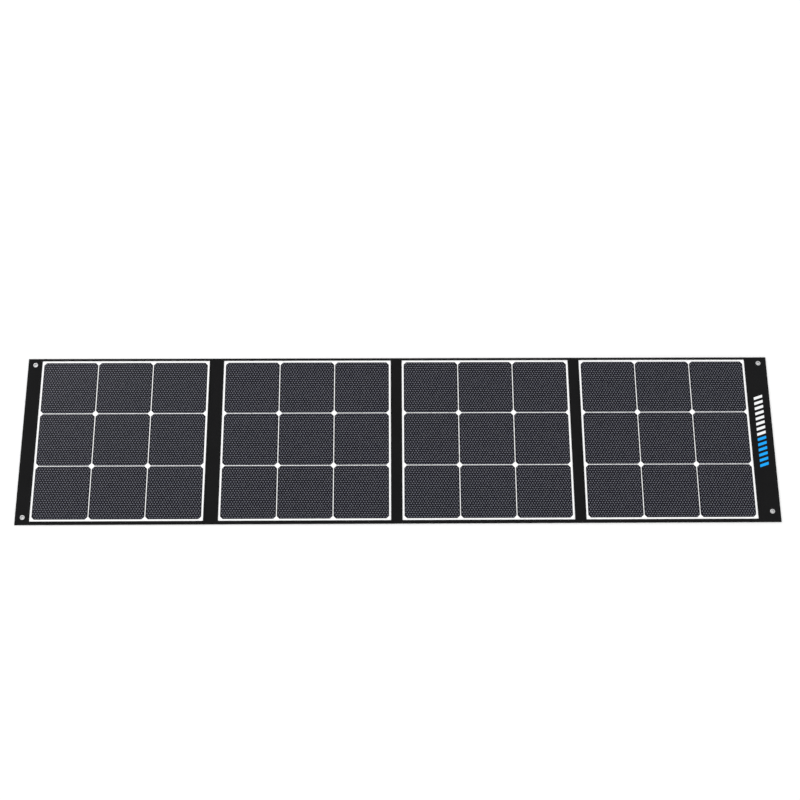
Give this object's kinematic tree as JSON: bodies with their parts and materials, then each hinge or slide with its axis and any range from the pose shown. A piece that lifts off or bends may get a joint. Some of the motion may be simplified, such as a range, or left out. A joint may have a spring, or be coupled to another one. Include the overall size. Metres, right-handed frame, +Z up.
{
  "type": "folding solar blanket",
  "caption": "Cloth-covered solar blanket that folds flat in quarters: square laminates of dark cells on black canvas leaves, with eyelets at the corners and a lead outlet behind.",
  "frame": {"origin": "middle of the underside of the blanket lying flat and open", "axes": "+X along the length, from the leaf with the lead outlet to the far end; +Y across the width; +Z up, out of the cell side"},
  "size_m": [2.159, 0.504, 0.006],
  "materials": {
    "front_cloth": "matte black coated canvas, fine plain weave",
    "rear_cloth": "matte black coated canvas, plain weave",
    "clear_film": "clear embossed fluoropolymer film, satin",
    "cell": "blue-black silicon with a dark anti-reflection coat",
    "tinned_copper": "tinned copper ribbon, satin",
    "white_backsheet": "white laminate backing",
    "board": "glass-fibre board, matte",
    "moulding": "black moulding, matte",
    "terminal_brass": "brass, satin",
    "diode": "black moulded package",
    "lead_jacket": "flat black lead jacket",
    "liner": "dark stiffening strip",
    "eyelet_metal": "nickel-plated brass, bright",
    "outlet_rubber": "black rubber, matte"
  },
  "bodies": {
    "leaf_1": {"front_cover_1": "front_cloth", "rear_cover_1": "rear_cloth", "front_film_1": "clear_film", "cells_1": "cell", "interconnects_1": "tinned_copper", "backsheet_1": "white_backsheet", "stiffener_board_1": "board", "junction_block_1": "moulding", "terminals_1": "terminal_brass", "bypass_diode_1": "diode", "series_leads_1_right": "lead_jacket", "margin_liner_left": "liner", "eyelets_left": "eyelet_metal", "eyelet_washers_left": "eyelet_metal", "lead_outlet": "outlet_rubber"},
    "leaf_2": {"front_cover_2": "front_cloth", "rear_cover_2": "rear_cloth", "front_film_2": "clear_film", "cells_2": "cell", "interconnects_2": "tinned_copper", "backsheet_2": "white_backsheet", "stiffener_board_2": "board", "junction_block_2": "moulding", "terminals_2": "terminal_brass", "bypass_diode_2": "diode", "series_leads_2_left": "lead_jacket", "series_leads_2_right": "lead_jacket"},
    "leaf_3": {"front_cover_3": "front_cloth", "rear_cover_3": "rear_cloth", "front_film_3": "clear_film", "cells_3": "cell", "interconnects_3": "tinned_copper", "backsheet_3": "white_backsheet", "stiffener_board_3": "board", "junction_block_3": "moulding", "terminals_3": "terminal_brass", "bypass_diode_3": "diode", "series_leads_3_left": "lead_jacket", "series_leads_3_right": "lead_jacket"},
    "leaf_4": {"front_cover_4": "front_cloth", "rear_cover_4": "rear_cloth", "front_film_4": "clear_film", "cells_4": "cell", "interconnects_4": "tinned_copper", "backsheet_4": "white_backsheet", "stiffener_board_4": "board", "junction_block_4": "moulding", "terminals_4": "terminal_brass", "bypass_diode_4": "diode", "series_leads_4_left": "lead_jacket", "margin_liner_right": "liner", "eyelets_right": "eyelet_metal", "eyelet_washers_right": "eyelet_metal"}
  },
  "joints": [
    {"name": "outer_fold", "type": "hinge", "parent": "leaf_1", "child": "leaf_2", "pos_m": [-0.5305, 0, 0.015], "axis": [0, -1, 0], "range_deg": [0, 180]},
    {"name": "middle_fold", "type": "hinge", "parent": "leaf_2", "child": "leaf_3", "pos_m": [-0.0071, 0, 0.007], "axis": [0, -1, 0], "range_deg": [0, 180]},
    {"name": "inner_fold", "type": "hinge", "parent": "leaf_3", "child": "leaf_4", "pos_m": [0.51145, 0, -0.001], "axis": [0, 1, 0], "range_deg": [0, 180]}
  ]
}
